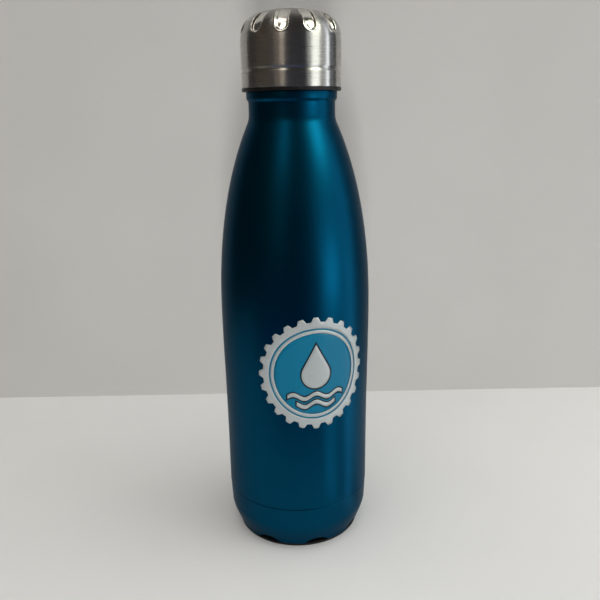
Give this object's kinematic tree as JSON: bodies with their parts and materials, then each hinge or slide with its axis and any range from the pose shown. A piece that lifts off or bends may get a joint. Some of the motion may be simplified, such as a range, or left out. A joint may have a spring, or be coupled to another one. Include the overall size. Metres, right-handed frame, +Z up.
{
  "type": "water bottle",
  "caption": "Double-wall vacuum water bottle with a narrow neck, a scalloped foot and a screw-in stopper under a domed steel cap.",
  "frame": {"origin": "centre of the base, on the ground the foot stands on", "axes": "+Z up along the bottle's axis, -Y towards the printed badge's side (the front), +X to the right of the front"},
  "size_m": [0.072, 0.0721, 0.25],
  "materials": {
    "cap_steel": "circumferentially brushed",
    "black_pp": "moulded black",
    "stopper_pp": "moulded",
    "foam": "closed-cell foam",
    "silicone": "soft",
    "foot_rubber": "moulded black",
    "body_paint": "satin metallic",
    "bare_steel": "as drawn",
    "vessel_steel": "electropolished",
    "solder_glass": "fused bead",
    "getter_metal": "sintered",
    "copper": "plated foil",
    "ink_blue": "printed",
    "ink_dark": "printed",
    "ink_silver": "printed"
  },
  "bodies": {
    "bottle": {"outer_shell": "body_paint", "base_cover": "body_paint", "foot_ring": "foot_rubber", "outer_bottom": "bare_steel", "vacuum_seal": "solder_glass", "getter_holder": "bare_steel", "getter_pellet": "getter_metal", "inner_liner": "vessel_steel", "threaded_neck": "vessel_steel", "inner_bottom": "vessel_steel", "copper_shield": "copper", "badge_blue": "ink_blue", "badge_dark": "ink_dark", "badge_silver": "ink_silver"},
    "seal": {"stopper_seal": "silicone"},
    "cap": {"cap_shell": "cap_steel", "cap_liner": "black_pp", "stopper_plug": "stopper_pp", "stopper_lid": "stopper_pp", "foam_core": "foam"}
  },
  "joints": [
    {"name": "cap_lift", "type": "slide", "parent": "bottle", "child": "seal", "axis": [0, 0, 1], "range_m": [0, 0.027]},
    {"name": "cap_turn", "type": "hinge", "parent": "seal", "child": "cap", "pos_m": [0, 0, 0.2161], "axis": [0, 0, 1], "range_deg": [0, 2160]}
  ],
  "couplings": [
    {"joint": "cap_lift", "follows": "cap_turn", "m_per_rad": 0.0007162}
  ]
}
